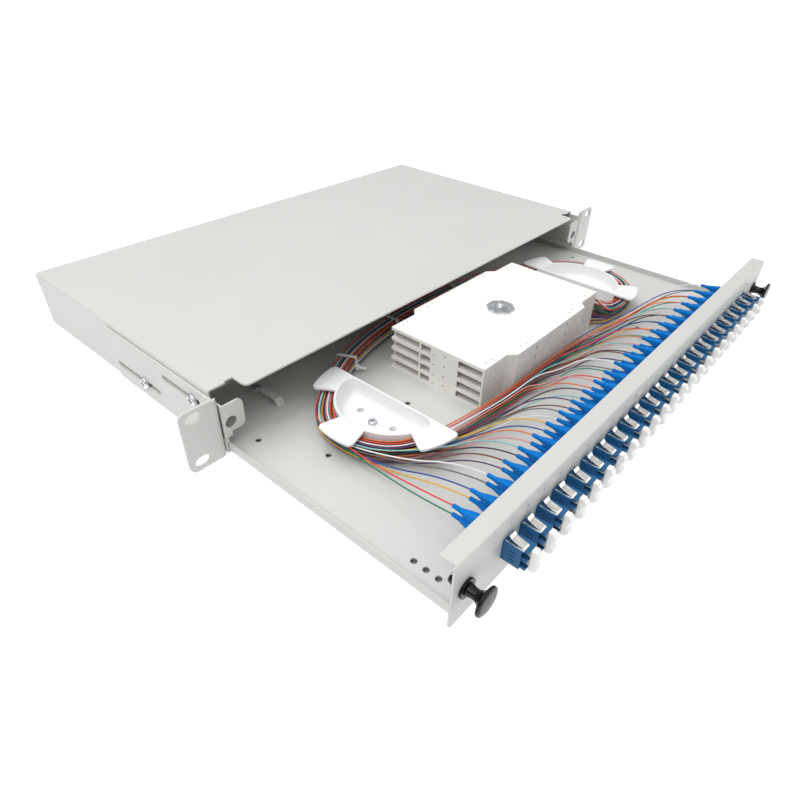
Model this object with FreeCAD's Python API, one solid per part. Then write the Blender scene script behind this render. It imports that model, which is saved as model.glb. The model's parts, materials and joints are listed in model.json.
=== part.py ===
"""Rack-mount fibre termination box: 1U sliding-drawer housing with 24 duplex ports.

Frame: +X right seen from the front, +Y to the rear, +Z up, millimetres.
Origin: centre of the four rack slots, on the front face of the rack ears.
Rest pose: the drawer is pulled out to its stop.
"""
import FreeCAD, Part
import math
import os

V = FreeCAD.Vector
X, Y, Z = V(1, 0, 0), V(0, 1, 0), V(0, 0, 1)

# ---- driving dimensions -------------------------------------------------
SHEET = 1.2             # folded steel sheet of housing and drawer
GAP = 0.3               # clearance between parts that slide past each other
BOTTOM = -21.5          # underside of the housing
HOUSING_HALF = 215.5    # half width over the cover's sides
HOUSING_TOP = 20.6
HOUSING_REAR = 240.0
COVER_FRONT = 10.6      # front edge of the cover's sides
COVER_LIP = -0.8        # front edge of the cover's middle part
PAN_FRONT = 1.0         # front edge of the base pan

EAR_SHEET = 2.0
EAR_HALF_SPAN = 241.3   # 19 inch panel width / 2
EAR_HALF_HEIGHT = 21.5
SLOT_X = 232.55         # rack slots
SLOT_Z = 15.875
SLOT_LENGTH = 10.0
SLOT_WIDTH = 7.0
EAR_SCREWS = [(25.0, 8.5), (86.6, -8.5)]        # (y, z) on each side
EAR_LEG_SLOTS = [(18.0, 60.0, 8.5), (68.0, 123.0, -8.5)]   # (y0, y1, z)

LATCH_X = 209.3
LATCH_Z = -0.3
LATCH_HOLE_R = 4.1

PANEL_FRONT = -174.5
PANEL_HALF = 219.5
PANEL_TOP = 22.2
PANEL_FLANGE = 10.4     # depth of the panel's folded top edge
FLANGE_INSET = 1.6      # the folded edge starts this far in from the panel's ends
TRAY_HALF = 213.9
TRAY_TOP = -14.0        # top of the drawer's low side walls
TRAY_REAR = 60.0
STOP_OUT = 212.8        # outer faces of the drawer's two stops
FLOOR = -18.8           # upper face of the drawer floor
TRAY_HOLES = [(-197, -5.5), (-177, -48), (-202.5, -138.6), (-202.5, -146.7), (-202.5, -154.8),
              (-104, -48.5), (199.5, -8), (199.4, 26), (107, -120)]
TRAY_HOLE_R = 1.9

PORTS = 24
PORT_PITCH = 15.31
PORT_HALF_W = 4.65      # adapter body
PORT_HALF_H = 6.45
FIBRE_Z = 3.15          # half the height between a duplex pair's centres
ADAPTER_FRONT = -187.6
ADAPTER_STEP = 2.8      # the latch side's wall ends this far behind the front
ADAPTER_REAR = -161.0
BOOT_START = -156.8
BOOT_END = -141.3
CAP_FRONT = -192.6
CAP_BACK = -187.9

STACK_Y = -49.5         # splice tray stack centre
STACK_HALF_X = 77.3
STACK_HALF_Y = 40.5
STACK_BULGE = 5.5       # the middle of each long side stands out by this
BULGE_HALF_X = 46.5
LEVELS = 4
LEVEL_HEIGHT = 7.95
SPLICE_WALL = 1.3
LID = 1.4
SLEEVE_R = 1.2
SLEEVE_HALF = 20.0
SLEEVE_PITCH = 3.2
SLEEVE_Y0 = -85.5

SPOOL_X = 121.0
SPOOL_Y = -50.0
SPOOL_R = 38.5
SPOOL_TAB_R = 54.6
SPOOL_TOP = -4.0
SPOOL_WALL = 1.6
SPOOL_BASE = 2.8        # thickness of the spool's floor
SPOOL_TABS = (0.0, 74.5, -74.5)     # directions from the outward axis, degrees
SPOOL_TAB_HALF_ANGLE = 15.5

FIBRE_R = 0.45
LANE = 1.0              # spacing of the bundle's lanes outward from the spools
LAYER = 2.3             # height between the fibres of two trays in one lane
LANES = 12
FIRST_LANE_R = 39.6
LANE_Z = FLOOR + 3.2    # lowest layer of the bundle
REAR_RUN_Y = 20.0       # first lane behind the splice stack
REAR_RUN_X = 76.0       # ends of the run behind the splice stack
FRONT_RUN_Y = -97.6     # first lane in front of the splice stack
SWEEP = 19.0            # how far a fibre runs back before it turns to the bundle
DIRECT_X = -25.0        # ports left of this go straight to the left spool
EVEN = (0.45, 0.45)     # shares of a corner's two runs that its arc may take
LEAVE_X = 108.0         # where a fibre turns from the right spool to the splice stack
CLIMB_X = 80.0          # where a fibre is level again, just outside its splice tray

GROMMET_X = 150.0       # rear cable entries
GROMMET_Z = -5.0
GROMMET_BORE_R = 7.0
GROMMET_HOLE_R = 10.0


# ---- small helpers ------------------------------------------------------
def box(x0, x1, y0, y1, z0, z1):
    low = V(min(x0, x1), min(y0, y1), min(z0, z1))
    return Part.makeBox(abs(x1 - x0), abs(y1 - y0), abs(z1 - z0), low)


def rod(start, direction, radius, length):
    return Part.makeCylinder(radius, length, V(*start), direction)


def cone(start, direction, r0, r1, length):
    return Part.makeCone(r0, r1, length, V(*start), direction)


def face_of(points):
    return Part.Face(Part.makePolygon([V(*p) for p in points] + [V(*points[0])]))


def prism(points, z0, z1):
    return face_of([(x, y, z0) for x, y in points]).extrude(V(0, 0, z1 - z0))


def slot(centre, along, length, width, through, depth):
    """Slotted cutter: ends rounded, 'along' and 'through' are unit vectors."""
    c = V(*centre)
    r = width / 2
    half = along * (length / 2 - r)
    side = through.cross(along)
    a, b = c - half, c + half
    edges = [Part.LineSegment(a + side * r, b + side * r).toShape(),
             Part.Arc(b + side * r, b + along * r, b - side * r).toShape(),
             Part.LineSegment(b - side * r, a - side * r).toShape(),
             Part.Arc(a - side * r, a - along * r, a + side * r).toShape()]
    return Part.Face(Part.Wire(edges)).extrude(through * depth).translated(through * (-depth / 2))


def fuse(shapes):
    return shapes[0].multiFuse(shapes[1:]).removeSplitter() if len(shapes) > 1 else shapes[0]


def cut(shape, tools):
    return shape.cut(tools) if tools else shape


def mirror(shape):
    return shape.mirror(V(0, 0, 0), X)


def edges_at(shape, test):
    """Edges whose centre of mass passes the test."""
    return [e for e in shape.Edges if test(e.CenterOfMass, e)]


def along(edge, axis):
    v = edge.Vertexes
    return len(v) == 2 and abs((v[1].Point - v[0].Point).normalize().dot(axis)) > 0.999


def save(name, solids):
    shape = solids if isinstance(solids, Part.Shape) else Part.makeCompound(solids)
    shape.exportStep("parts/" + name + ".step")


def port_x(index):
    return (index - (PORTS - 1) / 2) * PORT_PITCH


def pan_screw(tip, direction, shank_r, length, head_r, head_h):
    """Screw whose head seats at 'tip'; the shank runs against 'direction'."""
    shank = rod(tip, -direction, shank_r, length)
    head = rod(tip, direction, head_r, head_h)
    rim = [e for e in head.Edges if abs((e.CenterOfMass - V(*tip)).dot(direction) - head_h) < 1e-6]
    head = head.makeFillet(head_h * 0.6, [e for e in rim if e.Curve.TypeId == "Part::GeomCircle"])
    side = X if abs(direction.x) < 0.5 else Y
    other = direction.cross(side)
    recess = []
    for a, b in ((side, other), (other, side)):
        arm = face_of([tuple(V(*tip) + a * (i * head_r * 0.55) + b * (j * head_r * 0.13)
                       + direction * (head_h * 0.45)) for i, j in ((-1, -1), (1, -1), (1, 1), (-1, 1))])
        recess.append(arm.extrude(direction * head_h))
    return cut(shank.fuse(head), recess)


# ---- housing ------------------------------------------------------------
def top_cover():
    out, inn = HOUSING_HALF, HOUSING_HALF - SHEET
    block = box(-out, out, COVER_FRONT, HOUSING_REAR, BOTTOM, HOUSING_TOP)
    top_edges = edges_at(block, lambda c, e: along(e, Y) and c.z > 0)
    block = block.makeFillet(2.0, top_edges)
    inside = box(-inn, inn, COVER_FRONT - 1, HOUSING_REAR - SHEET, BOTTOM - 1, HOUSING_TOP - SHEET)
    inner_edges = edges_at(inside, lambda c, e: along(e, Y) and c.z > 0)
    shell = block.cut(inside.makeFillet(0.8, inner_edges))
    shell = shell.cut(box(-out - 1, out + 1, HOUSING_REAR - SHEET - 0.01, HOUSING_REAR + 1,
                          BOTTOM - 1, HOUSING_TOP - 12))
    lip = box(-197, 197, COVER_LIP, COVER_FRONT + 2, HOUSING_TOP - SHEET, HOUSING_TOP)
    lip = lip.makeFillet(4.0, edges_at(lip, lambda c, e: along(e, Z) and c.y < 5))
    notches = [box(s * 197, s * 203, COVER_FRONT - 1, 12.3, HOUSING_TOP - 2, HOUSING_TOP + 1)
               for s in (-1, 1)]
    holes = [rod((s * (out + 1), y, z), X * -s, 2.1, 3) for s in (-1, 1) for y, z in EAR_SCREWS]
    holes += [rod((x, HOUSING_REAR + 1, 14), Y * -1, 1.6, 4) for x in (-190, -65, 65, 190)]
    return cut(shell.fuse(lip), notches + holes).removeSplitter()


def base_pan():
    half = HOUSING_HALF - SHEET
    rear = HOUSING_REAR - SHEET
    floor = box(-half, half, PAN_FRONT, rear, BOTTOM, BOTTOM + SHEET)
    # short upturns close the front corners before the cover's sides begin
    corners = [box(s * half, s * HOUSING_HALF, PAN_FRONT, COVER_FRONT - GAP, BOTTOM, -10.5)
               for s in (-1, 1)]
    back = box(-half, half, rear - SHEET, rear, BOTTOM, HOUSING_TOP - 2 * SHEET)
    holes = [rod((s * GROMMET_X, rear + 1, GROMMET_Z), Y * -1, GROMMET_HOLE_R, 4) for s in (-1, 1)]
    holes += [rod((x, rear + 1, 14), Y * -1, 1.5, 4) for x in (-190, -65, 65, 190)]
    return cut(fuse([floor, back] + corners), holes)


def rack_ear():
    """Right-hand ear: folded bracket with the rack slots and two adjusting slots."""
    x0, x1 = HOUSING_HALF + 0.1, EAR_HALF_SPAN
    radius = 4.0
    plate = box(x0, x1, 0, EAR_SHEET, -EAR_HALF_HEIGHT, EAR_HALF_HEIGHT)
    leg = box(x0, x0 + EAR_SHEET, 0, 130, -20.2, 17.0)
    solid = plate.fuse(leg).removeSplitter()
    # outer bend, then the inner bend's fill
    block = box(x0, x0 + radius, 0, radius, -30, 30)
    block = block.cut(rod((x0 + radius, radius, -30), Z, radius, 60))
    fill = box(x0 + EAR_SHEET, x0 + 4, EAR_SHEET, 4, -20.2, 17.0)
    fill = fill.cut(rod((x0 + 4, 4, -30), Z, 2.0, 60))
    solid = solid.cut(block).fuse(fill)
    corners = edges_at(solid, lambda c, e: along(e, Y) and c.x > x1 - 0.01)
    solid = solid.makeFillet(4.5, corners)
    tail = Part.Face(Part.makePolygon([V(x0 - 1, 122, -20.3), V(x0 - 1, 130.1, -16.4),
                                       V(x0 - 1, 130.1, -20.3), V(x0 - 1, 122, -20.3)]))
    tools = [tail.extrude(X * 4), box(x0 - 1, x0 + 3, 2, 131, 17.0, 25)]
    # the closed drawer's folded top edge passes through this notch
    tools.append(box(x0 - 1, PANEL_HALF + GAP, -1, 5, PANEL_TOP - SHEET - GAP, 25))
    for z in (-SLOT_Z, SLOT_Z):
        tools.append(slot((SLOT_X, 1, z), X, SLOT_LENGTH, SLOT_WIDTH, Y, 6))
    for y0, y1, z in EAR_LEG_SLOTS:
        tools.append(slot((x0 + 1, (y0 + y1) / 2, z), Y, y1 - y0, 4.4, X, 6))
    return cut(solid, tools).removeSplitter()


def ear_screws():
    seat = HOUSING_HALF + 0.1 + EAR_SHEET
    reach = seat - (HOUSING_HALF - 2 * SHEET) + 0.2
    return [pan_screw((s * seat, y, z), X * s, 1.9, reach, 4.0, 2.6)
            for s in (-1, 1) for y, z in EAR_SCREWS]


def cover_screws():
    return [pan_screw((x, HOUSING_REAR, 14), Y, 1.5, 3.5, 3.0, 1.8) for x in (-190, -65, 65, 190)]


def guide_bracket():
    """Right-hand guide: keeps the drawer's wall down and carries the latch tab."""
    outer = HOUSING_HALF - SHEET
    inner = outer - SHEET
    leg = box(inner, outer, COVER_FRONT + 0.5, 232, TRAY_TOP + GAP, 13.2)
    neck = box(inner, outer, 0.7, COVER_FRONT + 1, TRAY_TOP + GAP, 13.2)
    edge = HOUSING_HALF - 0.2
    tab = box(199.6, edge, 0.7, 0.7 + SHEET, -7, 13.2)
    tab = tab.makeFillet(4.0, edges_at(tab, lambda c, e: along(e, Y) and c.x < 201))
    foot = box(209.8, edge, 0.7, 0.7 + SHEET, -10, -6)
    lip = box(208.0, outer, 4.0, 50.0, TRAY_TOP + GAP, TRAY_TOP + GAP + SHEET)
    body = fuse([leg, neck, tab, foot, lip])
    tools = [rod((LATCH_X, -1, LATCH_Z), Y, LATCH_HOLE_R, 5)]
    tools += [rod((inner - 1, y, z), X, 1.95, 4) for y, z in EAR_SCREWS]
    tools += [box(inner - 1, outer + 1, y0, y0 + 30, -2, 8) for y0 in (110, 150, 190)]
    return cut(body, tools)


def cable_grommet(side):
    """Rubber grommet in a rear cable entry."""
    outer = HOUSING_REAR - SHEET
    inner = outer - SHEET
    axis_start = (side * GROMMET_X, inner - 2.5, GROMMET_Z)
    sleeve = rod(axis_start, Y, GROMMET_HOLE_R, SHEET + 5.0)
    collars = [rod((side * GROMMET_X, y, GROMMET_Z), Y, GROMMET_HOLE_R + 2.5, 2.5)
               for y in (inner - 2.5, outer)]
    bore = rod((side * GROMMET_X, inner - 5, GROMMET_Z), Y, GROMMET_BORE_R, 12)
    return fuse([sleeve] + collars).cut(bore)


# ---- drawer -------------------------------------------------------------
def drawer_tray():
    front = PANEL_FRONT + SHEET
    floor = box(-TRAY_HALF, TRAY_HALF, front, TRAY_REAR, FLOOR - SHEET, FLOOR)
    walls = [box(s * TRAY_HALF, s * (TRAY_HALF - SHEET), front, TRAY_REAR, FLOOR - SHEET, TRAY_TOP)
             for s in (-1, 1)]
    upturn = box(-TRAY_HALF, TRAY_HALF, front, front + SHEET, FLOOR - SHEET, -9.5)
    rear = [box(s * TRAY_HALF, s * 60, TRAY_REAR - SHEET, TRAY_REAR, FLOOR - SHEET, TRAY_TOP)
            for s in (-1, 1)]
    stops = [box(s * STOP_OUT, s * (STOP_OUT - SHEET), 50.5, TRAY_REAR, FLOOR, -5.5) for s in (-1, 1)]
    holes = [rod((x, y, FLOOR - 5), Z, TRAY_HOLE_R, 8) for x, y in TRAY_HOLES]
    holes += [rod((x, y, FLOOR - 5), Z, 1.6, 8) for x, y in drawer_screw_places()]
    holes.append(rod((0, STACK_Y, FLOOR - 5), Z, 3.0, 8))
    return cut(fuse([floor, upturn] + walls + rear + stops), holes)


def front_panel():
    back = PANEL_FRONT + SHEET
    plate = box(-PANEL_HALF, PANEL_HALF, PANEL_FRONT, back, BOTTOM, PANEL_TOP)
    flange = box(-PANEL_HALF, PANEL_HALF, PANEL_FRONT, PANEL_FRONT + PANEL_FLANGE,
                 PANEL_TOP - SHEET, PANEL_TOP)
    body = plate.fuse(flange).removeSplitter()
    bend = edges_at(body, lambda c, e: along(e, X) and c.y < PANEL_FRONT + 0.01 and c.z > PANEL_TOP - 0.01)
    body = body.makeFillet(1.1, bend)
    tools = [box(port_x(i) - PORT_HALF_W - 0.1, port_x(i) + PORT_HALF_W + 0.1, PANEL_FRONT - 1, back + 1,
                 -PORT_HALF_H - 0.1, PORT_HALF_H + 0.1) for i in range(PORTS)]
    tools += [rod((s * LATCH_X, PANEL_FRONT - 1, LATCH_Z), Y, LATCH_HOLE_R, 5) for s in (-1, 1)]
    # the folded top edge stops short of the panel's ends
    tools += [box(s * (PANEL_HALF - FLANGE_INSET), s * (PANEL_HALF + 1), back, back + 12,
                  PANEL_TOP - 2, PANEL_TOP + 1) for s in (-1, 1)]
    lower = edges_at(body, lambda c, e: along(e, Y) and c.z < BOTTOM + 0.01)
    return cut(body.makeFillet(1.5, lower), tools)


def stack_outline(inset=0.0):
    hx, hy = STACK_HALF_X - inset, STACK_HALF_Y - inset
    step = STACK_BULGE
    bx = BULGE_HALF_X - inset * 0.414
    corner = [(hx, hy), (bx + step, hy), (bx, hy + step)]
    right = [(x, -y) for x, y in reversed(corner)] + corner
    left = [(-x, -y) for x, y in right]
    return [(x, STACK_Y + y) for x, y in right + left]


def splice_tray(level):
    z0 = FLOOR + level * LEVEL_HEIGHT
    z1 = z0 + LEVEL_HEIGHT
    top = z0 + 1.2
    body = prism(stack_outline(), z0, z1).cut(prism(stack_outline(SPLICE_WALL), top, z1 + 1))
    boss = rod((0, STACK_Y, z0), Z, 6.0, LEVEL_HEIGHT)
    ribs = [box(-16, 16, y - 0.3, y + 0.3, z0, z0 + 5.2) for y in rib_lines()]
    posts = [rod((s * 45, STACK_Y + 18, z0), Z, 9.0, 5.5) for s in (-1, 1)]
    body = body.multiFuse([boss] + ribs + posts).removeSplitter()
    tools = [rod((0, STACK_Y, z0 - 1), Z, 3.1, LEVEL_HEIGHT + 2)]
    tools += [rod((s * 45, STACK_Y + 18, z0 + 1.2), Z, 7.8, 8) for s in (-1, 1)]
    for s in (-1, 1):
        x0, x1 = s * (STACK_HALF_X - 3), s * (STACK_HALF_X + 1)
        # the last window runs out through the corner
        for y0, y1 in ((-88.4, -68.7), (-45.0, -36.3), (-34.8, -5.0)):
            tools.append(box(x0, x1, y0, y1, top, z0 + 6.7))
        for y, dz in ((-57.5, 4.6), (-48.0, 2.4)):
            tools.append(rod((x0, y, z0 + dz), X * s, 0.7, 5))
    for y0 in (STACK_Y - STACK_HALF_Y - STACK_BULGE, STACK_Y + STACK_HALF_Y + STACK_BULGE):
        for x in (-21.5, 21.5):
            tools.append(slot((x, y0, z0 + 3.8), Z, 3.8, 2.2, Y, 6))
        for x in (-38, -31, 31, 38):
            tools.append(rod((x, y0 - 3, z0 + 4.2), Y, 0.6, 6))
    for y0 in (STACK_Y - STACK_HALF_Y, STACK_Y + STACK_HALF_Y):
        for x in (-64, 64):
            tools.append(slot((x, y0, z0 + 3.6), Z, 2.6, 1.3, Y, 6))
        for x in (-70, -58, 58, 70):
            tools.append(rod((x, y0 - 3, z0 + 4.4), Y, 0.55, 6))
    return cut(body, tools)


def rib_lines():
    return [SLEEVE_Y0 + SLEEVE_PITCH * (i - 0.5) for i in range(7)]


def sleeve_place(level, lane):
    """Left-over end of a fibre: y and z of its splice sleeve in a tray."""
    y = SLEEVE_Y0 + SLEEVE_PITCH * (lane // 2)
    z = FLOOR + level * LEVEL_HEIGHT + 1.2 + SLEEVE_R + 0.05 + (lane % 2) * 2.5
    return y, z


def splice_sleeves():
    solids = []
    for level in range(LEVELS):
        for lane in range(LANES):
            y, z = sleeve_place(level, lane)
            solids.append(rod((-SLEEVE_HALF, y, z), X, SLEEVE_R, 2 * SLEEVE_HALF))
    return solids


def splice_lid():
    z0 = FLOOR + LEVELS * LEVEL_HEIGHT
    lid = prism(stack_outline(), z0, z0 + LID)
    lid = lid.makeFillet(0.4, edges_at(lid, lambda c, e: c.z > z0 + LID - 0.01))
    holes = [rod((0, STACK_Y, z0 - 1), Z, 3.1, 4)]
    for sx in (-1, 1):
        for sy in (-1, 1):
            for x, y in ((70, 36), (64, 37), (36, 41), (30, 42)):
                holes.append(rod((sx * x, STACK_Y + sy * y, z0 - 1), Z, 0.7, 4))
    return cut(lid, holes)


def lid_top():
    return FLOOR + LEVELS * LEVEL_HEIGHT + LID


def tray_stud():
    foot = rod((0, STACK_Y, FLOOR - SHEET), Z, 3.0, SHEET)
    shank = rod((0, STACK_Y, FLOOR), Z, 2.8, 18.9 - FLOOR)
    tip = edges_at(shank, lambda c, e: c.z > 18.8 and e.Curve.TypeId == "Part::GeomCircle")
    return foot.fuse(shank.makeChamfer(0.5, tip)).removeSplitter()


def regular_prism(sides, across, z0, z1, bore):
    radius = across / 2 / math.cos(math.pi / sides)
    points = []
    for k in range(sides):
        angle = 2 * math.pi * (k + 0.5) / sides
        points.append((radius * math.cos(angle), STACK_Y + radius * math.sin(angle)))
    return prism(points, z0, z1).cut(rod((0, STACK_Y, z0 - 1), Z, bore, z1 - z0 + 2))


def clamp_washer():
    z0 = lid_top()
    return regular_prism(8, 20.0, z0, z0 + 1.2, 2.95)


def clamp_nut():
    z0 = lid_top() + 1.2
    nut = regular_prism(6, 9.0, z0, z0 + 2.6, 2.85)
    cup = cone((0, STACK_Y, z0), Z, 7.0, 4.2, 2.8)
    return nut.common(cup)


def spool_sector(r0, r1, a0, a1, z0, z1):
    """Annular sector about the right spool's centre; angles in degrees from +X."""
    def at(r, a):
        return V(SPOOL_X + r * math.cos(math.radians(a)), SPOOL_Y + r * math.sin(math.radians(a)), z0)
    mid = (a0 + a1) / 2
    edges = [Part.Arc(at(r1, a0), at(r1, mid), at(r1, a1)).toShape(),
             Part.LineSegment(at(r1, a1), at(r0, a1)).toShape(),
             Part.Arc(at(r0, a1), at(r0, mid), at(r0, a0)).toShape(),
             Part.LineSegment(at(r0, a0), at(r1, a0)).toShape()]
    return Part.Face(Part.Wire(edges)).extrude(V(0, 0, z1 - z0))


def fibre_spool():
    """Right-hand bend guide: half-round soft-cornered bowl, three tabs over the fibres."""
    front = box(SPOOL_X, SPOOL_X + 60, SPOOL_Y - 60, SPOOL_Y + 60, FLOOR, SPOOL_TOP)
    block = rod((SPOOL_X, SPOOL_Y, FLOOR), Z, SPOOL_R, SPOOL_TOP - FLOOR).common(front)
    bottom = FLOOR + SPOOL_BASE
    bowl = rod((SPOOL_X, SPOOL_Y, bottom), Z, SPOOL_R - SPOOL_WALL, 20)
    bowl = bowl.common(box(SPOOL_X + SPOOL_WALL, SPOOL_X + 60, SPOOL_Y - 60, SPOOL_Y + 60, bottom, 1))
    bowl = bowl.makeFillet(6.0, edges_at(bowl, lambda c, e: along(e, Z)))
    bowl = bowl.makeFillet(4.5, edges_at(bowl, lambda c, e: c.z < bottom + 0.01))
    tabs = []
    for angle in SPOOL_TABS:
        a0 = angle - SPOOL_TAB_HALF_ANGLE
        a1 = angle + SPOOL_TAB_HALF_ANGLE
        tab = spool_sector(SPOOL_R - 1.0, SPOOL_TAB_R, a0, a1, SPOOL_TOP - SPOOL_WALL, SPOOL_TOP)
        ends = edges_at(tab, lambda c, e: along(e, Z) and math.hypot(c.x - SPOOL_X, c.y - SPOOL_Y) > 50)
        tabs.append(tab.makeFillet(3.0, ends))
    body = fuse([block.cut(bowl)] + tabs)
    x, y = SPOOL_X + 18, SPOOL_Y + 1
    boss = rod((x, y, FLOOR), Z, 5.0, 3.5)
    holes = [rod((x, y, FLOOR - 1), Z, 1.6, 8)]
    holes += [rod((SPOOL_X + 13, SPOOL_Y + dy, FLOOR - 1), Z, 2.5, 4) for dy in (17, -12)]
    return cut(body.fuse(boss), holes).removeSplitter()


def clamp_arm_place():
    return -164.0, 38.0


def drawer_screw_places():
    x, y = SPOOL_X + 18, SPOOL_Y + 1
    return [(-x, y), (x, y), clamp_arm_place()]


def cable_clamp_arm():
    """Strain-relief arm: a strip that bridges a gap for a cable tie and slants down to the floor."""
    x, y = clamp_arm_place()
    profile = [(5, 0), (5, 1.5), (-4.0, 1.5), (-6.6, 4.8), (-22.6, 4.8),
               (-26.5, 0), (-24.8, 0), (-21.6, 3.4), (-7.4, 3.4), (-4.6, 0)]
    strip = face_of([(x - 3.0, y + py, FLOOR + pz) for py, pz in profile]).extrude(X * 6)
    eye = rod((x, y, FLOOR), Z, 4.5, 1.5)
    return fuse([strip, eye]).cut(rod((x, y, FLOOR - 1), Z, 1.6, 5))


def drawer_screws():
    """Screws of the two spools and the strain-relief arm."""
    (xl, y), (xr, y), (xa, ya) = drawer_screw_places()
    under_head = FLOOR + 3.5
    screws = [pan_screw((x, y, under_head), Z, 1.5, 4.7, 3.2, 2.0) for x in (xl, xr)]
    screws.append(pan_screw((xa, ya, FLOOR + 1.5), Z, 1.5, 2.7, 3.2, 2.0))
    return screws


def cable_ties():
    """Closed loops round the fibre bundle: two behind the stack, one slanted by the left spool."""
    low, high = LANE_Z - 0.8, LANE_Z + (LEVELS - 0.5) * LAYER + 0.8
    reach = (LANES - 1) * LANE / 2 + 1.0
    loop = box(-1.3, 1.3, -reach - 0.8, reach + 0.8, low - 0.4, high + 0.8)
    loop = loop.cut(box(-2, 2, -reach, reach, low, high))
    lock = box(-1.9, 1.9, -reach - 3.0, -reach - 0.5, low, low + 3.2)
    tail = box(-1.2, 1.2, -reach - 8.0, -reach - 2.9, low + 1.0, low + 1.9)
    tie = loop.multiFuse([lock, tail]).removeSplitter()
    middle = REAR_RUN_Y + (LANES - 1) * LANE / 2
    ties = [tie.translated(V(x, middle, 0)) for x in (-40.0, 40.0)]
    radius = FIRST_LANE_R + (LANES - 1) * LANE / 2
    swing = tangent_point((-REAR_RUN_X, middle), (-SPOOL_X, SPOOL_Y), radius, 1)
    touch = V(-SPOOL_X + radius * math.cos(swing), SPOOL_Y + radius * math.sin(swing), 0)
    run = V(-REAR_RUN_X, middle, 0) - touch
    slanted = tie.rotated(V(0, 0, 0), Z, math.degrees(math.atan2(run.y, run.x)))
    ties.append(slanted.translated(touch + run * 0.58))
    return ties


# ---- adapters, caps and pigtails ---------------------------------------
def adapter(x):
    """Duplex adapter; its latch side, to the left, ends in a step before the two mouths."""
    w, h = PORT_HALF_W, PORT_HALF_H
    body = box(x - w, x + w, ADAPTER_FRONT, ADAPTER_REAR, -h, h)
    body = body.makeFillet(0.5, edges_at(body, lambda c, e: along(e, Y)))
    tools = [box(x - w - 1, x - 3.1, ADAPTER_FRONT - 1, ADAPTER_FRONT + ADAPTER_STEP, -h - 1, h + 1)]
    for s in (-1, 1):
        z = s * FIBRE_Z
        tools.append(box(x - 2.5, x + 2.7, ADAPTER_FRONT - 1, -176.0, z - 2.5, z + 2.5))
        tools.append(box(x - 3.8, x - 2.0, ADAPTER_FRONT - 1, -181.0, z - 1.7, z + 1.7))
        tools.append(box(x - 2.7, x + 2.7, -172.0, ADAPTER_REAR + 1, z - 2.5, z + 2.5))
        tools.append(rod((x, -177, z), Y, 1.3, 6))
    for z in (-2.6, 0.0, 2.6):
        tools.append(box(x - w - 1, x - w + 0.45, -182.0, -178.6, z - 0.4, z + 0.4))
    # groove under the spring clip
    tools.append(box(x - 3.3, x + 0.9, -183.2, PANEL_FRONT - 0.6, h - 0.5, h + 1))
    return cut(body, tools)


def adapter_clip(x):
    """Spring clip on the adapter: a frame, and a leaf that rises from it and curls up at the panel."""
    top = PORT_HALF_H
    plate = box(x - 4.0, x + 1.6, -185.6, PANEL_FRONT - 0.6, top, top + 0.3)
    plate = plate.cut(box(x - 3.2, x + 0.8, -183.2, PANEL_FRONT, top - 1, top + 1))
    path = [(-185.4, 0.0), (-184.8, 0.8), (-179.2, 1.9), (-178.0, 2.5), (-177.0, 3.6), (-176.2, 3.5)]
    under = [(y, z - 0.35) for y, z in path]
    outline = path + [(y, max(z, 0.0)) for y, z in reversed(under)][:-1]
    leaf = face_of([(x - 3.0, y, top + z) for y, z in outline]).extrude(X * 4.4)
    panel_end, front_end = (-180.2, top + 1.7), (-183.2, top + 1.11)
    recess = [(x - 2.2, y, z + dz) for dz, ends in ((-0.12, (front_end, panel_end)),
                                                    (1.0, (panel_end, front_end))) for y, z in ends]
    return plate.fuse(leaf.cut(face_of(recess).extrude(X * 2.8)))


def dust_cap(x):
    """Duplex dust cap: two plugs on a rounded grip with a bump over each mouth."""
    grip = box(x - 1.2, x + 2.8, CAP_FRONT + 1.6, CAP_BACK, -7.0, 7.0)
    bumps = [rod((x - 1.2, CAP_FRONT + 2.3, s * 4.0), X, 2.3, 4.0) for s in (-1, 1)]
    grip = grip.multiFuse(bumps).removeSplitter()
    plugs = [box(x - 0.4, x + 2.4, CAP_BACK - 0.1, -180.0, s * FIBRE_Z - 1.9, s * FIBRE_Z + 1.9)
             for s in (-1, 1)]
    return grip.multiFuse(plugs).removeSplitter()


def lc_connectors():
    return [box(port_x(i) - 2.4, port_x(i) + 2.4, -171.5, BOOT_START, s * FIBRE_Z - 2.4, s * FIBRE_Z + 2.4)
            for i in range(PORTS) for s in (-1, 1)]


def lc_boots():
    neck = BOOT_START + 10
    profile = [(0, BOOT_START), (2.9, BOOT_START), (2.9, BOOT_START + 2.5), (1.5, neck),
               (1.2, neck + 0.5), (1.2, BOOT_END), (0, BOOT_END)]
    boots = []
    for i in range(PORTS):
        for s in (-1, 1):
            x, z = port_x(i), s * FIBRE_Z
            outline = face_of([(x + r, y, z) for r, y in profile])
            boots.append(outline.revolve(V(x, 0, z), Y, 360))
    return boots


def latch_grommet(side):
    x = side * LATCH_X
    start = PANEL_FRONT + SHEET
    ring = rod((x, PANEL_FRONT - 1.5, LATCH_Z), Y, 5.6, 1.5)
    sleeve = rod((x, PANEL_FRONT - 0.2, LATCH_Z), Y, LATCH_HOLE_R - 0.1, SHEET + 0.2)
    flare = cone((x, start, LATCH_Z), Y, 6.0, 3.9, 1.8)
    nose = cone((x, start + 1.8, LATCH_Z), Y, 3.9, 2.5, 5.5)
    bore = rod((x, PANEL_FRONT - 3, LATCH_Z), Y, 2.1, 20)
    split = box(x - 0.5, x + 0.5, start + 2.6, start + 9, LATCH_Z - 5, LATCH_Z + 5)
    return fuse([ring, sleeve, flare, nose]).cut([bore, split])


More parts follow.
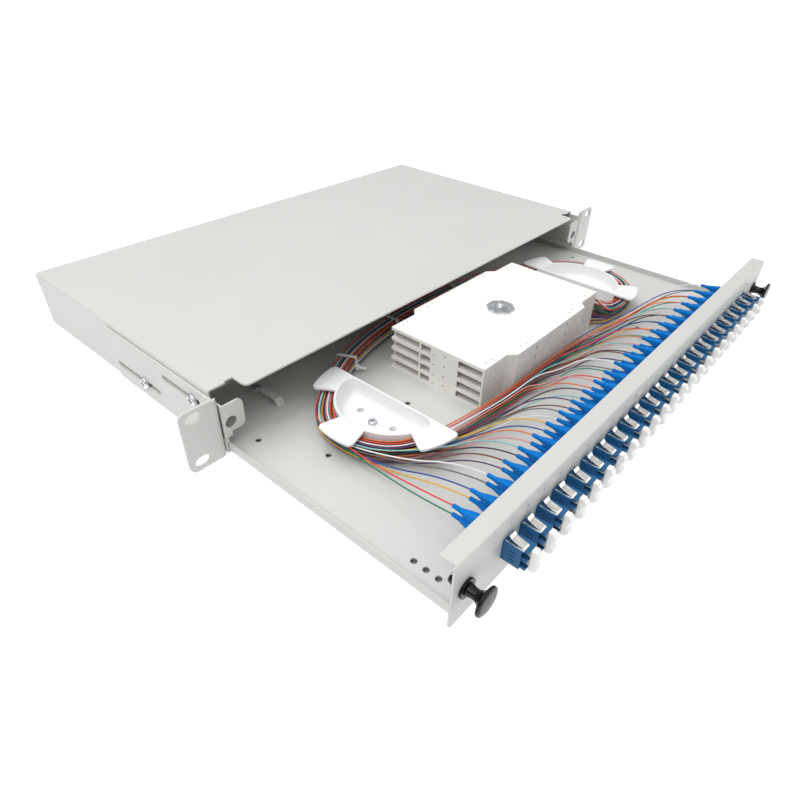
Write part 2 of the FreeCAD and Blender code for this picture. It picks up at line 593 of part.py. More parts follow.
def latch_plunger(side):
    """Pull knob: thin shaft, waisted neck and flared disc."""
    x = side * LATCH_X
    front = PANEL_FRONT - 1.8
    profile = [(0, -168.0), (1.8, -168.0), (1.8, front), (3.6, front), (2.9, front - 2.6),
               (2.9, front - 4.6), (3.8, front - 6.6), (5.6, front - 8.0), (7.9, front - 8.9),
               (8.1, front - 9.6), (7.8, front - 10.4), (6.4, front - 10.9), (0, front - 11.2)]
    outline = face_of([(x + r, y, LATCH_Z) for r, y in profile])
    return outline.revolve(V(x, 0, LATCH_Z), Y, 360)


# ---- fibre routes -------------------------------------------------------
def tangent_point(p, c, r, sign):
    """Point where the tangent from p touches the circle; sign picks the side."""
    dx, dy = p[0] - c[0], p[1] - c[1]
    base = math.atan2(dy, dx)
    swing = math.acos(r / math.hypot(dx, dy))
    angle = base + sign * swing
    return angle


def around(c, r, a0, a1, z):
    """Corners of straight runs whose tangent arcs of radius r follow the circle."""
    turns = max(1, math.ceil(abs(a1 - a0) / math.radians(50)))
    step = (a1 - a0) / turns
    reach = r / math.cos(step / 2)
    directions = [a0 + (k + 0.5) * step for k in range(turns)]
    return [((c[0] + reach * math.cos(a), c[1] + reach * math.sin(a), z), r) for a in directions]


def blend_radius(before, corner, after, shares):
    """Arc as large as the given shares of its two runs allow."""
    a, b = V(*before) - V(*corner), V(*after) - V(*corner)
    turn = math.pi - a.getAngle(b)
    reach = min(shares[0] * a.Length, shares[1] * b.Length)
    return reach / math.tan(turn / 2) if turn > 0.002 else 0.0


def fibre_corners(index, upper):
    """Corners from the boot to the splice sleeve: (point, arc radius or the shares of its runs)."""
    x = port_x(index)
    lane = LANES - 1 - index // 2
    row = (0 if index % 2 else 2) + (1 if upper else 0)
    z_end = (FIBRE_Z if upper else -FIBRE_Z)
    z = LANE_Z + (row + 0.5 * (lane % 2)) * LAYER
    r = FIRST_LANE_R + lane * LANE
    left, right = (-SPOOL_X, SPOOL_Y), (SPOOL_X, SPOOL_Y)
    corners = [((x, BOOT_END, z_end), 0)]
    start = (x, BOOT_END + SWEEP)
    if x > DIRECT_X:
        neck = (0.5 * x - 32.0, FRONT_RUN_Y - lane * LANE)
        bend = (-68.0, neck[1])
        goal = neck
        a_in = tangent_point(bend, left, r, -1)
        after = [((neck[0], neck[1], z), EVEN), ((bend[0], bend[1], z), EVEN)]
    else:
        a_in = tangent_point(start, left, r, -1)
        goal = (left[0] + r * math.cos(a_in), left[1] + r * math.sin(a_in))
        after = []
    corners.append(((start[0], start[1], z_end - 3.0), (0.95, 0.5)))
    settle = [start[k] + 0.55 * (goal[k] - start[k]) for k in (0, 1)]
    corners.append(((settle[0], settle[1], z), EVEN))
    corners += after
    rear_y = REAR_RUN_Y + lane * LANE
    rear_x = REAR_RUN_X + 0.36 * lane       # outer lanes turn further out
    west, east = (-rear_x, rear_y), (rear_x, rear_y)
    a_out = tangent_point(west, left, r, 1)
    a_in %= 2 * math.pi
    a_out %= 2 * math.pi
    corners += around(left, r, a_in, a_out, z)
    corners.append(((west[0], west[1], z), EVEN))
    corners.append(((east[0], east[1], z), EVEN))
    b_in = tangent_point(east, right, r, -1)
    leave = (LEAVE_X - 1.3 * lane, SPOOL_Y - r)
    b_out = tangent_point(leave, right, r, 1)
    if b_out > b_in:
        b_out -= 2 * math.pi
    corners += around(right, r, b_in, b_out, z)
    y_sleeve, z_sleeve = sleeve_place(row, LANES - 1 - lane)
    corners.append(((leave[0], leave[1], z), EVEN))
    corners.append(((CLIMB_X, y_sleeve, z_sleeve), (0.2, 0.1)))
    corners.append(((SLEEVE_HALF, y_sleeve, z_sleeve), 0))
    return row, corners


def path_edges(corners):
    """Straight runs joined by tangent arcs."""
    edges = []
    here = V(*corners[0][0])
    for k in range(1, len(corners) - 1):
        corner = V(*corners[k][0])
        radius = corners[k][1]
        a = (V(*corners[k - 1][0]) - corner)
        b = (V(*corners[k + 1][0]) - corner)
        turn = math.pi - a.getAngle(b)
        if isinstance(radius, tuple):
            radius = blend_radius(corners[k - 1][0], corners[k][0], corners[k + 1][0], radius)
        if radius == 0:
            edges.append(Part.LineSegment(here, corner).toShape())
            here = corner
            continue
        ua, ub = V(a).normalize(), V(b).normalize()
        reach = radius * math.tan(turn / 2)
        start, end = corner + ua * reach, corner + ub * reach
        bisector = (ua + ub).normalize()
        middle = corner + bisector * (radius / math.cos(turn / 2) - radius)
        if (start - here).Length > 1e-4:
            edges.append(Part.LineSegment(here, start).toShape())
        else:
            start = here
        edges.append(Part.Arc(start, middle, end).toShape())
        here = end
    edges.append(Part.LineSegment(here, V(*corners[-1][0])).toShape())
    return edges


def tube(corners):
    edges = path_edges(corners)
    wire = Part.Wire(edges)
    direction = edges[0].tangentAt(edges[0].FirstParameter)
    ring = Part.Wire([Part.makeCircle(FIBRE_R, V(*corners[0][0]), direction)])
    return wire.makePipeShell([ring], True, False), wire.Length


def pigtails():
    trays = [[] for _ in range(LEVELS)]
    lengths = []
    for index in range(PORTS):
        for upper in (False, True):
            row, corners = fibre_corners(index, upper)
            solid, length = tube(corners)
            expected = math.pi * FIBRE_R ** 2 * length
            if not solid.isValid() or abs(solid.Volume - expected) > 0.01 * expected:
                print("check fibre", index, upper, solid.isValid(), solid.Volume / expected)
            trays[row].append(solid)
            lengths.append(length)
    print("pigtail length from boot to sleeve: %.0f to %.0f mm" % (min(lengths), max(lengths)))
    return trays


# ---- write the parts ----------------------------------------------------
def main():
    os.makedirs("parts", exist_ok=True)
    save("top_cover", top_cover())
    save("base_pan", base_pan())
    ear = rack_ear()
    save("rack_ear_right", ear)
    save("rack_ear_left", mirror(ear))
    save("ear_screws", ear_screws())
    save("cover_screws", cover_screws())
    guide = guide_bracket()
    save("guide_bracket_right", guide)
    save("guide_bracket_left", mirror(guide))
    save("cable_grommets", [cable_grommet(-1), cable_grommet(1)])

    save("drawer_tray", drawer_tray())
    save("front_panel", front_panel())
    for level in range(LEVELS):
        save("splice_tray_%d" % (level + 1), splice_tray(level))
    save("splice_lid", splice_lid())
    save("splice_sleeves", splice_sleeves())
    save("tray_stud", tray_stud())
    save("clamp_washer", clamp_washer())
    save("clamp_nut", clamp_nut())
    spool = fibre_spool()
    save("fibre_spool_right", spool)
    save("fibre_spool_left", mirror(spool))
    save("drawer_screws", drawer_screws())
    save("cable_clamp_arm", cable_clamp_arm())
    save("cable_ties", cable_ties())
    save("adapters", [adapter(port_x(i)) for i in range(PORTS)])
    save("adapter_clips", [adapter_clip(port_x(i)) for i in range(PORTS)])
    save("lc_connectors", lc_connectors())
    save("lc_boots", lc_boots())
    for number, solids in enumerate(pigtails(), 1):
        save("pigtails_tray_%d" % number, solids)
    save("latch_grommets", [latch_grommet(-1), latch_grommet(1)])
    save("latch_left", latch_plunger(-1))
    save("latch_right", latch_plunger(1))
    for i in range(PORTS):
        save("dust_cap_%02d" % (i + 1), dust_cap(port_x(i)))


main()
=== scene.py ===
"""Looks for the rack-mount fibre termination box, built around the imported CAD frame."""
import json
import math

import bmesh
import bpy
from mathutils import Matrix, Vector


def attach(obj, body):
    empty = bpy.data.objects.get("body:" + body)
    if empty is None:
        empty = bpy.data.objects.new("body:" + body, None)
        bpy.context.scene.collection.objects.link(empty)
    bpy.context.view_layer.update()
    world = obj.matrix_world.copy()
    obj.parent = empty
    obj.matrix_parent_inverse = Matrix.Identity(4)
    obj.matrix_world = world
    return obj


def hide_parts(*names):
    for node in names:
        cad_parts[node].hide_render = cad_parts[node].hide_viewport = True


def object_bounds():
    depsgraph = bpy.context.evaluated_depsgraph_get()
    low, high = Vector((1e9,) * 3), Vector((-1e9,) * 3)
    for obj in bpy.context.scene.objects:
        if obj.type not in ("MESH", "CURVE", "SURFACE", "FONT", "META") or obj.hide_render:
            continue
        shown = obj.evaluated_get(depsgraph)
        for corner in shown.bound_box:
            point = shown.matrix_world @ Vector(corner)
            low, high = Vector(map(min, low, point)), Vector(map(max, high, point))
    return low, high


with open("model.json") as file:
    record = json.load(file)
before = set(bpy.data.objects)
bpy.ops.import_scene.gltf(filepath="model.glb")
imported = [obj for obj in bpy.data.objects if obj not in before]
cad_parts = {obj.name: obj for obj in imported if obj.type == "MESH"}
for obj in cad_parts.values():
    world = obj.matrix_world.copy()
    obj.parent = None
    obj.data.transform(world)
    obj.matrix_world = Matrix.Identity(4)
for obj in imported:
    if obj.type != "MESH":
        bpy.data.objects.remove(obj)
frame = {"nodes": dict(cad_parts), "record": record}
cad_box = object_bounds()
nodes = frame["nodes"]

# ---- camera -------------------------------------------------------------
CAMERA_PLACE = Vector((-0.35457, -0.25863, 0.22649))
CAMERA_AZIMUTH = math.radians(50.04)
CAMERA_DROP = math.radians(37.78)
CAMERA_ROLL = math.radians(1.88)
CAMERA_LENS = 26.87                 # mm, on a sensor this wide:
CAMERA_SENSOR = 36.0
CAMERA_SHIFT = (-0.0095, 0.0157)


def add_camera():
    cam = bpy.data.cameras.new("camera")
    cam.lens = CAMERA_LENS
    cam.sensor_width = CAMERA_SENSOR
    cam.shift_x, cam.shift_y = CAMERA_SHIFT
    cam.clip_start = 0.01
    cam.clip_end = 20.0
    obj = bpy.data.objects.new("camera", cam)
    bpy.context.scene.collection.objects.link(obj)
    look = Vector((math.sin(CAMERA_AZIMUTH) * math.cos(CAMERA_DROP),
                   math.cos(CAMERA_AZIMUTH) * math.cos(CAMERA_DROP), -math.sin(CAMERA_DROP)))
    turn = look.to_track_quat("-Z", "Y").to_matrix().to_4x4()
    obj.matrix_world = Matrix.Translation(CAMERA_PLACE) @ turn @ Matrix.Rotation(CAMERA_ROLL, 4, "Z")
    bpy.context.scene.camera = obj


# ---- floor and light ----------------------------------------------------
FLOOR_SIZE = 14.0
FLOOR_DROP = 0.0006                 # below the object's underside
FLOOR_GREY = 0.35
FLOOR_GLOW = 0.84
FOOTPRINT_HALF = (0.212, 0.205)     # under the object the floor does not glow
FOOTPRINT_MIDDLE_Y = 0.033
OPEN_REACH = 0.005                  # floor with nothing this near above it counts as open
OPEN_SHARE = 0.95
HORIZON_LIGHT = 0.12
OVERHEAD_LIGHT = 0.9
# name, place, target, size in metres, power in watts
AREA_LIGHTS = [("key_light", (-1.1, -0.1, 1.5), (0, 0, 0), (1.2, 1.2), 10),
               ("top_light", (-0.1, 0.7, 1.9), (0, 0, 0), (1.6, 1.6), 15),
               ("front_light", (1.1, -1.4, 0.25), (0.15, -0.17, 0), (0.9, 0.5), 6)]


def math_node(tree, operation, *values):
    node = tree.nodes.new("ShaderNodeMath")
    node.operation = operation
    for k, value in enumerate(values):
        if isinstance(value, (int, float)):
            node.inputs[k].default_value = value
        else:
            tree.links.new(value, node.inputs[k])
    return node.outputs[0]


def add_stage():
    """Floor that glows round the object: it is seen white, but nothing is lit from below."""
    low = cad_box[0][2] - FLOOR_DROP
    half = FLOOR_SIZE / 2
    mesh = bpy.data.meshes.new("floor")
    mesh.from_pydata([(-half, -half, low), (half, -half, low), (half, half, low), (-half, half, low)],
                     [], [(0, 1, 2, 3)])
    floor = bpy.data.objects.new("floor", mesh)
    bpy.context.scene.collection.objects.link(floor)
    mat = bpy.data.materials.new("floor_white")
    mat.use_nodes = True
    tree = mat.node_tree
    shader = tree.nodes["Principled BSDF"]
    shader.inputs["Base Color"].default_value = (FLOOR_GREY, FLOOR_GREY, FLOOR_GREY, 1)
    shader.inputs["Roughness"].default_value = 0.95
    shader.inputs["Specular IOR Level"].default_value = 0.0
    shader.inputs["Emission Color"].default_value = (1, 1, 1, 1)
    coords = tree.nodes.new("ShaderNodeTexCoord").outputs["Object"]
    split = tree.nodes.new("ShaderNodeSeparateXYZ")
    tree.links.new(coords, split.inputs[0])
    from_axis = math_node(tree, "ABSOLUTE", split.outputs["X"])
    across = math_node(tree, "DIVIDE", from_axis, FOOTPRINT_HALF[0])
    offset = math_node(tree, "SUBTRACT", split.outputs["Y"], FOOTPRINT_MIDDLE_Y)
    deep = math_node(tree, "DIVIDE", math_node(tree, "ABSOLUTE", offset), FOOTPRINT_HALF[1])
    outside = math_node(tree, "GREATER_THAN", math_node(tree, "MAXIMUM", across, deep), 1.0)
    # where the drawer has slid home the floor is open to the sky and glows as well
    nearby = tree.nodes.new("ShaderNodeAmbientOcclusion")
    nearby.samples = 8
    nearby.inputs["Distance"].default_value = OPEN_REACH
    open_floor = math_node(tree, "GREATER_THAN", nearby.outputs["AO"], OPEN_SHARE)
    glows = math_node(tree, "MAXIMUM", outside, open_floor)
    tree.links.new(math_node(tree, "MULTIPLY", glows, FLOOR_GLOW), shader.inputs["Emission Strength"])
    mesh.materials.append(mat)


def area_light(name, place, target, size, power):
    lamp = bpy.data.lights.new(name, "AREA")
    lamp.shape = "RECTANGLE"
    lamp.size, lamp.size_y = size
    lamp.energy = power
    obj = bpy.data.objects.new(name, lamp)
    obj.location = place
    obj.rotation_euler = (Vector(target) - Vector(place)).to_track_quat("-Z", "Y").to_euler()
    bpy.context.scene.collection.objects.link(obj)


def add_light():
    """A dome that is bright overhead and dim at the horizon, and three soft area lights."""
    world = bpy.data.worlds.new("studio")
    world.use_nodes = True
    tree = world.node_tree
    background = tree.nodes["Background"]
    split = tree.nodes.new("ShaderNodeSeparateXYZ")
    tree.links.new(tree.nodes.new("ShaderNodeTexCoord").outputs["Generated"], split.inputs[0])
    rise = tree.nodes.new("ShaderNodeMapRange")
    rise.inputs["From Min"].default_value = 0.1
    rise.inputs["From Max"].default_value = 0.8
    rise.inputs["To Min"].default_value = HORIZON_LIGHT
    rise.inputs["To Max"].default_value = OVERHEAD_LIGHT
    tree.links.new(split.outputs["Z"], rise.inputs["Value"])
    # beyond the floor's edge the backdrop is seen white, but the light from it stays as set
    seen = tree.nodes.new("ShaderNodeLightPath").outputs["Is Camera Ray"]
    strength = math_node(tree, "MAXIMUM", rise.outputs["Result"], seen)
    tree.links.new(strength, background.inputs["Strength"])
    background.inputs["Color"].default_value = (1, 1, 1, 1)
    bpy.context.scene.world = world
    for light in AREA_LIGHTS:
        area_light(*light)
    scene = bpy.context.scene
    scene.view_settings.view_transform = "Standard"
    scene.view_settings.look = "None"
    scene.view_settings.exposure = 0.0


# ---- materials ----------------------------------------------------------
class Mat:
    """A small builder for procedural materials."""

    def __init__(self, name, colour, roughness=0.5, **sockets):
        self.mat = bpy.data.materials.new(name)
        self.mat.use_nodes = True
        self.tree = self.mat.node_tree
        self.shader = self.tree.nodes["Principled BSDF"]
        self.set("Base Color", (*colour, 1))
        self.set("Roughness", roughness)
        for key, value in sockets.items():
            self.set(key.replace("_", " "), value)
        self.coords = self.tree.nodes.new("ShaderNodeTexCoord").outputs["Object"]
        self.normal = None

    def set(self, socket, value):
        self.shader.inputs[socket].default_value = value

    def node(self, kind, **values):
        node = self.tree.nodes.new(kind)
        for key, value in values.items():
            setattr(node, key, value)
        return node

    def link(self, out, into):
        self.tree.links.new(out, into)

    def noise(self, scale, detail=3.0, rough=0.55, stretch=None):
        node = self.node("ShaderNodeTexNoise")
        node.inputs["Scale"].default_value = scale
        node.inputs["Detail"].default_value = detail
        node.inputs["Roughness"].default_value = rough
        if stretch:
            mapping = self.node("ShaderNodeMapping")
            mapping.inputs["Scale"].default_value = stretch
            self.link(self.coords, mapping.inputs["Vector"])
            self.link(mapping.outputs["Vector"], node.inputs["Vector"])
        else:
            self.link(self.coords, node.inputs["Vector"])
        return node.outputs["Fac"]

    def ramp(self, source, stops):
        node = self.node("ShaderNodeValToRGB")
        while len(node.color_ramp.elements) < len(stops):
            node.color_ramp.elements.new(0.5)
        for element, (place, colour) in zip(node.color_ramp.elements, stops):
            element.position = place
            element.color = (*colour, 1)
        self.link(source, node.inputs["Fac"])
        return node.outputs["Color"]

    def vary_colour(self, source, dark, light, low=0.35, high=0.65):
        self.link(self.ramp(source, [(low, dark), (high, light)]), self.shader.inputs["Base Color"])
        return self

    def vary_roughness(self, source, low, high):
        spread = self.node("ShaderNodeMapRange")
        spread.inputs["From Min"].default_value = 0.3
        spread.inputs["From Max"].default_value = 0.7
        spread.inputs["To Min"].default_value = low
        spread.inputs["To Max"].default_value = high
        self.link(source, spread.inputs["Value"])
        self.link(spread.outputs["Result"], self.shader.inputs["Roughness"])
        return self

    def edges(self, radius):
        """Softens sharp edges by this radius, in metres."""
        bevel = self.node("ShaderNodeBevel", samples=6)
        bevel.inputs["Radius"].default_value = radius
        self.normal = bevel.outputs["Normal"]
        self.link(self.normal, self.shader.inputs["Normal"])
        return self

    def bump(self, source, height, strength):
        """Fine relief of this height, in metres; a second call adds to the first."""
        node = self.node("ShaderNodeBump")
        node.inputs["Distance"].default_value = height
        node.inputs["Strength"].default_value = strength
        self.link(source, node.inputs["Height"])
        if self.normal:
            self.link(self.normal, node.inputs["Normal"])
        self.normal = node.outputs["Normal"]
        self.link(self.normal, self.shader.inputs["Normal"])
        return self


def scaled(colour, factor):
    return tuple(min(1.0, c * factor) for c in colour)


def powder_coat():
    """Light grey paint: a fine orange-peel texture over a coarser one."""
    colour = (0.615, 0.62, 0.60)
    m = Mat("powder_coat", colour, 0.42)
    m.vary_colour(m.noise(9, 2), scaled(colour, 0.985), scaled(colour, 1.01))
    m.edges(0.0005)
    m.bump(m.noise(2200, 2, 0.5), 0.000018, 0.55)
    m.bump(m.noise(420, 2, 0.5), 0.00003, 0.3)
    m.vary_roughness(m.noise(700, 2), 0.38, 0.5)
    return m.mat


def zinc():
    m = Mat("zinc_steel", (0.70, 0.72, 0.74), 0.3, Metallic=1.0)
    m.vary_colour(m.noise(260, 4), (0.52, 0.54, 0.57), (0.80, 0.82, 0.84))
    m.edges(0.0002)
    m.bump(m.noise(1800, 2), 0.00001, 0.4)
    m.vary_roughness(m.noise(500, 3), 0.2, 0.42)
    return m.mat


def spring_steel():
    """Bright strip, brushed along its length."""
    m = Mat("spring_steel", (0.78, 0.77, 0.74), 0.28, Metallic=1.0)
    m.vary_colour(m.noise(900, 3, stretch=(1, 0.12, 1)), (0.62, 0.61, 0.58), (0.86, 0.85, 0.82))
    m.edges(0.00008)
    m.bump(m.noise(4000, 2, stretch=(1, 0.05, 1)), 0.000006, 0.5)
    m.vary_roughness(m.noise(600, 3), 0.2, 0.38)
    return m.mat


def moulded(name, colour, roughness, soft_edge=0.0003, relief=0.00001, mottle=0.03, **sockets):
    """Injection-moulded plastic: faint mottling, fine texture, softened edges."""
    m = Mat(name, colour, roughness, **sockets)
    m.vary_colour(m.noise(60, 2), scaled(colour, 1 - mottle), scaled(colour, 1 + mottle))
    m.edges(soft_edge)
    m.bump(m.noise(1500, 3), relief, 0.5)
    m.vary_roughness(m.noise(320, 3), roughness - 0.06, roughness + 0.08)
    return m.mat


def rubber():
    m = Mat("black_rubber", (0.02, 0.02, 0.02), 0.7)
    m.vary_colour(m.noise(300, 3), (0.014, 0.014, 0.014), (0.03, 0.03, 0.03))
    m.edges(0.0006)
    m.bump(m.noise(2600, 3), 0.00004, 0.6)
    return m.mat


MATERIALS = {
    "powder_coat": powder_coat(),
    "zinc_steel": zinc(),
    "spring_steel": spring_steel(),
    "cream_plastic": moulded("cream_plastic", (0.87, 0.855, 0.81), 0.42),
    "white_plastic": moulded("white_plastic", (0.88, 0.88, 0.89), 0.35, 0.0006, 0.000001,
                             mottle=0.003),
    "black_rubber": rubber(),
    "clear_tube": moulded("clear_tube", (0.75, 0.78, 0.80), 0.2, Transmission_Weight=0.6),
    "clear_nylon": moulded("clear_nylon", (0.93, 0.94, 0.95), 0.2, Transmission_Weight=0.15),
    "adapter_blue": moulded("adapter_blue", (0.008, 0.10, 0.25), 0.4, Specular_IOR_Level=0.35),
    "boot_blue": moulded("boot_blue", (0.001, 0.18, 0.58), 0.5, 0.0002, Specular_IOR_Level=0.12),
    "black_nylon": moulded("black_nylon", (0.007, 0.007, 0.008), 0.18, 0.0006,
                           Specular_IOR_Level=0.3),
    "cap_white": moulded("cap_white", (0.84, 0.835, 0.81), 0.34, 0.0006, Subsurface_Weight=0.25,
                         Subsurface_Scale=0.002, Subsurface_Radius=(1.0, 1.0, 1.0)),
}
LID_WHITE = moulded("lid_white", (0.90, 0.895, 0.86), 0.4, 0.0003, mottle=0.01)
INK = moulded("printed_ink", (0.03, 0.035, 0.05), 0.5)


def dress_cad():
    """Every CAD node takes the procedural material of its slot; the lid is a whiter plastic."""
    slots = {s["node"]: s["material_slot"] for s in frame["record"]["subparts"]}
    for name, obj in nodes.items():
        material = MATERIALS.get(slots[name])
        if name == "splice_lid":
            material = LID_WHITE
        if material:
            obj.data.materials.clear()
            obj.data.materials.append(material)


# ---- the drawer's layout, as in the CAD part, in metres ------------------
PORTS = 24
PORT_PITCH = 0.01531
FIBRE_Z = 0.00315           # height of a port's upper fibre; the lower one is as far below 0
BOOT_END = -0.1413
SPOOL_X = 0.121             # axes of the two bend guides
SPOOL_Y = -0.050
FIBRE_R = 0.00045
LANES = 12                  # places beside each other in a layer of the bundle
LANE = 0.001                # from one lane to the next
FIRST_LANE_R = 0.0396
LANE_Z = -0.0156            # lowest layer of the bundle
LAYER = 0.0023
SWEEP = 0.019               # straight run behind a boot
DIRECT_X = -0.025           # ports left of this lead straight to the left guide
DIP = 0.003                 # drop of a fibre over its straight run
JOIN_SHARE = 0.55           # by this part of the way to the bundle it is down at its layer
JOIN_OFFSET = -0.032        # where the other ports' fibres join the run in front of the trays
FRONT_RUN_X = -0.068
FRONT_RUN_Y = -0.0976
REAR_RUN_X = 0.076          # the run behind the trays
REAR_RUN_Y = 0.020
REAR_SPREAD = 0.00036       # each lane further out is straight this much further along it
LEAVE_X = 0.108             # where a fibre leaves the right guide
LEAVE_SPREAD = 0.0013       # each lane further out leaves it this much nearer the middle
CLIMB_X = 0.080             # where it enters its tray
SLEEVE_HALF = 0.020
SLEEVE_PITCH = 0.0032
SLEEVE_Y0 = -0.0855
SLEEVE_STEP = 0.0025        # from the lower to the upper sleeve of a pair
FIRST_SLEEVE_Z = -0.01635
LEVEL_HEIGHT = 0.00795      # of one splice tray


def port_x(index):
    return (index - (PORTS - 1) / 2) * PORT_PITCH


def tangent_angle(p, c, r, sign):
    """Angle of the point where the tangent from p touches the circle."""
    dx, dy = p[0] - c[0], p[1] - c[1]
    return math.atan2(dy, dx) + sign * math.acos(r / math.hypot(dx, dy))


def around(c, r, a0, a1, z):
    """Control points whose curve follows the circle."""
    turns = max(1, math.ceil(abs(a1 - a0) / math.radians(50)))
    step = (a1 - a0) / turns
    reach = r / math.cos(step / 2)
    angles = [a0 + (k + 0.5) * step for k in range(turns)]
    return [(c[0] + reach * math.cos(a), c[1] + reach * math.sin(a), z) for a in angles]


def between(a, b, share):
    return tuple(p + share * (q - p) for p, q in zip(a, b))


def fibre_route(index, upper):
    """Row (splice tray) and route of one pigtail, from its boot to its splice sleeve."""
    x = port_x(index)
    lane = LANES - 1 - index // 2
    row = (0 if index % 2 else 2) + (1 if upper else 0)
    z_end = FIBRE_Z if upper else -FIBRE_Z
    z = LANE_Z + (row + 0.5 * (lane % 2)) * LAYER
    r = FIRST_LANE_R + lane * LANE
    left, right = (-SPOOL_X, SPOOL_Y), (SPOOL_X, SPOOL_Y)
    start = (x, BOOT_END + SWEEP)
    after = []
    if x > DIRECT_X:
        goal = (0.5 * x + JOIN_OFFSET, FRONT_RUN_Y - lane * LANE)
        bend = (FRONT_RUN_X, goal[1])
        a_in = tangent_angle(bend, left, r, -1)
        after = [(*goal, z), (*bend, z)]
    else:
        a_in = tangent_angle(start, left, r, -1)
        goal = (left[0] + r * math.cos(a_in), left[1] + r * math.sin(a_in))
    joins = between(start, goal, JOIN_SHARE)
    points = [(x, BOOT_END, z_end), (*start, z_end - DIP), (*joins, z)] + after
    rear_y = REAR_RUN_Y + lane * LANE
    rear_x = REAR_RUN_X + REAR_SPREAD * lane
    west, east = (-rear_x, rear_y), (rear_x, rear_y)
    a_out = tangent_angle(west, left, r, 1)
    points += around(left, r, a_in % math.tau, a_out % math.tau, z)
    points += [(*west, z), (*east, z)]
    b_in = tangent_angle(east, right, r, -1)
    leave = (LEAVE_X - LEAVE_SPREAD * lane, SPOOL_Y - r)
    b_out = tangent_angle(leave, right, r, 1)
    if b_out > b_in:
        b_out -= math.tau
    points += around(right, r, b_in, b_out, z)
    place = LANES - 1 - lane
    y_end = SLEEVE_Y0 + SLEEVE_PITCH * (place // 2)
    z_sleeve = FIRST_SLEEVE_Z + row * LEVEL_HEIGHT + (place % 2) * SLEEVE_STEP
    leave = (*leave, z)
    climb, end = (CLIMB_X, y_end, z_sleeve), (SLEEVE_HALF, y_end, z_sleeve)
    points += [leave, between(climb, leave, 0.4), climb, between(climb, end, 0.2), end]
    return row, points


FIBRE_COLOURS = {
    "red": (0.72, 0.055, 0.045), "green": (0.0, 0.24, 0.13), "blue": (0.012, 0.07, 0.33),
    "yellow": (0.80, 0.46, 0.03), "white": (0.86, 0.87, 0.88), "grey": (0.17, 0.16, 0.16),
    "brown": (0.16, 0.045, 0.02), "violet": (0.085, 0.03, 0.12), "aqua": (0.23, 0.56, 0.54),
    "black": (0.012, 0.012, 0.014), "orange": (0.78, 0.19, 0.035), "pink": (0.80, 0.30, 0.30),
}
# (upper, lower) fibre of each port from the left; each group of six ports starts one pair later,
# and the second group has upper and lower swapped
FIBRE_PAIRS = [("red", "green"), ("blue", "yellow"), ("white", "grey"), ("brown", "violet"),
               ("aqua", "black"), ("orange", "pink")]


def new_object(name, data, body="drawer"):
    obj = bpy.data.objects.new(name, data)
    bpy.context.scene.collection.objects.link(obj)
    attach(obj, body)
    return obj


def add_fibres():
    """The pigtails as smooth curves, one object for each splice tray's twelve."""
    names = list(FIBRE_COLOURS)
    materials = [moulded("fibre_" + n, FIBRE_COLOURS[n], 0.34, 0.00005, 0.000004) for n in names]
    curves = []
    for row in range(4):
        curve = bpy.data.curves.new("pigtails_%d" % (row + 1), "CURVE")
        curve.dimensions = "3D"
        curve.bevel_depth = FIBRE_R
        curve.bevel_resolution = 2
        curve.resolution_u = 10
        curve.use_fill_caps = True
        for material in materials:
            curve.materials.append(material)
        curves.append(curve)
    for index in range(PORTS):
        for upper in (False, True):
            row, points = fibre_route(index, upper)
            spline = curves[row].splines.new("NURBS")
            spline.points.add(len(points) - 1)
            for target, point in zip(spline.points, points):
                target.co = (*point, 1)
            spline.order_u = 3
            spline.use_endpoint_u = True
            group = index // len(FIBRE_PAIRS)
            pair = FIBRE_PAIRS[(index + group) % len(FIBRE_PAIRS)]
            spline.material_index = names.index(pair[0] if upper != (group == 1) else pair[1])
    for row, curve in enumerate(curves):
        obj = new_object("pigtails_%d" % (row + 1), curve)
        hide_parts("pigtails_tray_%d" % (row + 1))


# ---- boots --------------------------------------------------------------
RING_POINTS = 20


def ring_points(x, y, z, half_x, half_z, roundness):
    """Superellipse ring about (x, z) at this y."""
    points = []
    for k in range(RING_POINTS):
        a = math.tau * k / RING_POINTS
        c, s = math.cos(a), math.sin(a)
        points.append((x + half_x * math.copysign(abs(c) ** roundness, c), y,
                       z + half_z * math.copysign(abs(s) ** roundness, s)))
    return points


def loft(bm, rings):
    """Skins closed rings of equal counts and caps both ends."""
    rows = [[bm.verts.new(p) for p in ring] for ring in rings]
    count = len(rows[0])
    for a, b in zip(rows, rows[1:]):
        for k in range(count):
            bm.faces.new((a[k], a[(k + 1) % count], b[(k + 1) % count], b[k]))
    bm.faces.new(list(reversed(rows[0])))
    bm.faces.new(rows[-1])


def smooth_object(name, bm, material):
    bmesh.ops.recalc_face_normals(bm, faces=bm.faces)
    mesh = bpy.data.meshes.new(name)
    bm.to_mesh(mesh)
    bm.free()
    for polygon in mesh.polygons:
        polygon.use_smooth = True
    mesh.materials.append(material)
    obj = new_object(name, mesh)
    return obj


# (distance ahead of the boot's end, half width, half height, shift inward, roundness)
BOOT_RINGS = [(0.0, 0.00105, 0.00105, 0.0, 1.0), (0.0002, 0.00125, 0.00125, 0.0, 1.0),
              (0.0048, 0.00135, 0.00140, 0.0, 0.9), (0.0070, 0.00165, 0.00190, 0.0001, 0.7),
              (0.0105, 0.00235, 0.00270, 0.0002, 0.5), (0.0135, 0.00285, 0.00305, 0.0001, 0.4),
              (0.0153, 0.00290, 0.00310, 0.0, 0.35), (0.0155, 0.00275, 0.00295, 0.0, 0.35)]


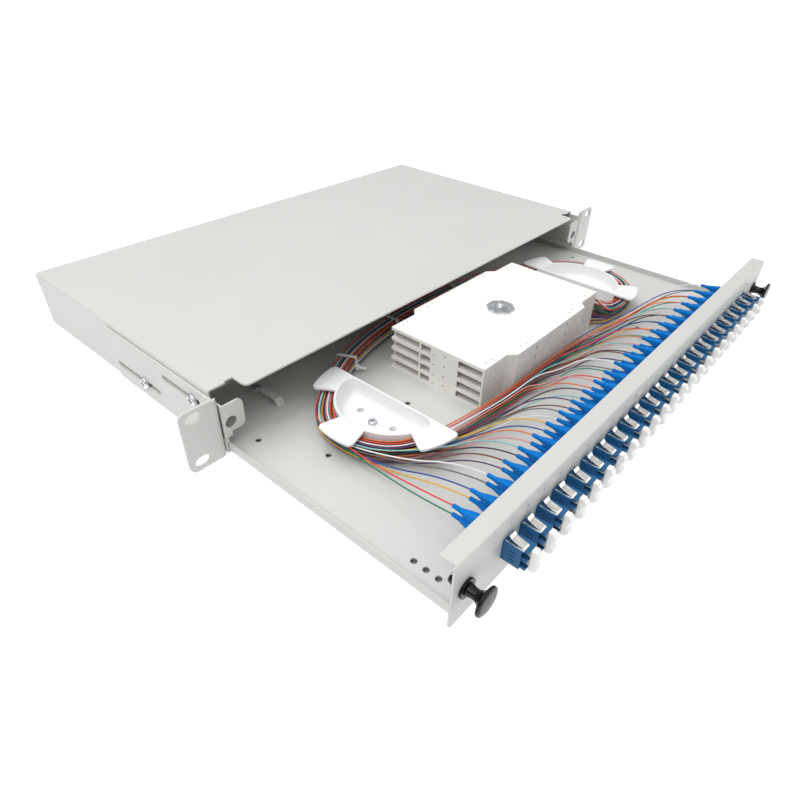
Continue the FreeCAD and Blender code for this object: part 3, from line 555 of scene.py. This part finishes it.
def add_boots():
    bm = bmesh.new()
    for x in map(port_x, range(PORTS)):
        for side in (-1, 1):
            loft(bm, [ring_points(x, BOOT_END - ahead, side * (FIBRE_Z - shift), half_x, half_z, n)
                      for ahead, half_x, half_z, shift, n in BOOT_RINGS])
    obj = smooth_object("connector_boots", bm, MATERIALS["boot_blue"])
    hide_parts("lc_boots")


# ---- dust caps ----------------------------------------------------------
CAP_VOXEL = 0.00028
CAP_SMOOTHING = 5


def add_caps():
    """Each cap is its CAD solid, remeshed finely and softened like thin polyethylene."""
    first = nodes["dust_cap_01"]
    source = bpy.data.objects.new("cap_source", first.data.copy())
    bpy.context.scene.collection.objects.link(source)
    remesh = source.modifiers.new("remesh", "REMESH")
    remesh.mode = "VOXEL"
    remesh.voxel_size = CAP_VOXEL
    smooth = source.modifiers.new("smooth", "SMOOTH")
    smooth.factor = 0.5
    smooth.iterations = CAP_SMOOTHING
    bpy.context.view_layer.update()
    graph = bpy.context.evaluated_depsgraph_get()
    soft = bpy.data.meshes.new_from_object(source.evaluated_get(graph))
    bpy.data.objects.remove(source)
    for polygon in soft.polygons:
        polygon.use_smooth = True
    soft.materials.clear()
    soft.materials.append(MATERIALS["cap_white"])
    for index in range(PORTS):
        mesh = soft.copy()
        mesh.transform(Matrix.Translation((port_x(index) - port_x(0), 0, 0)))
        obj = new_object("soft_cap_%02d" % (index + 1), mesh, "cap_%02d" % (index + 1))
        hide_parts("dust_cap_%02d" % (index + 1))


# ---- port numbers -------------------------------------------------------
PANEL_FACE = -0.1745
NUMBER_HEIGHT = 0.0024
NUMBER_Z = 0.0142
INK_DEPTH = 0.00002


def add_numbers():
    """Plain port numbers, 1 to 24, printed over the ports."""
    for index in range(PORTS):
        text = bpy.data.curves.new("number_%02d" % (index + 1), "FONT")
        text.body = str(index + 1)
        text.size = NUMBER_HEIGHT
        text.align_x = "CENTER"
        text.extrude = INK_DEPTH
        text.materials.append(INK)
        obj = new_object("number_%02d" % (index + 1), text)
        obj.location = (port_x(index), PANEL_FACE - INK_DEPTH, NUMBER_Z)
        obj.rotation_euler = (math.radians(90), 0, 0)


add_camera()
add_stage()
add_light()
dress_cad()
add_fibres()
add_boots()
add_caps()
add_numbers()
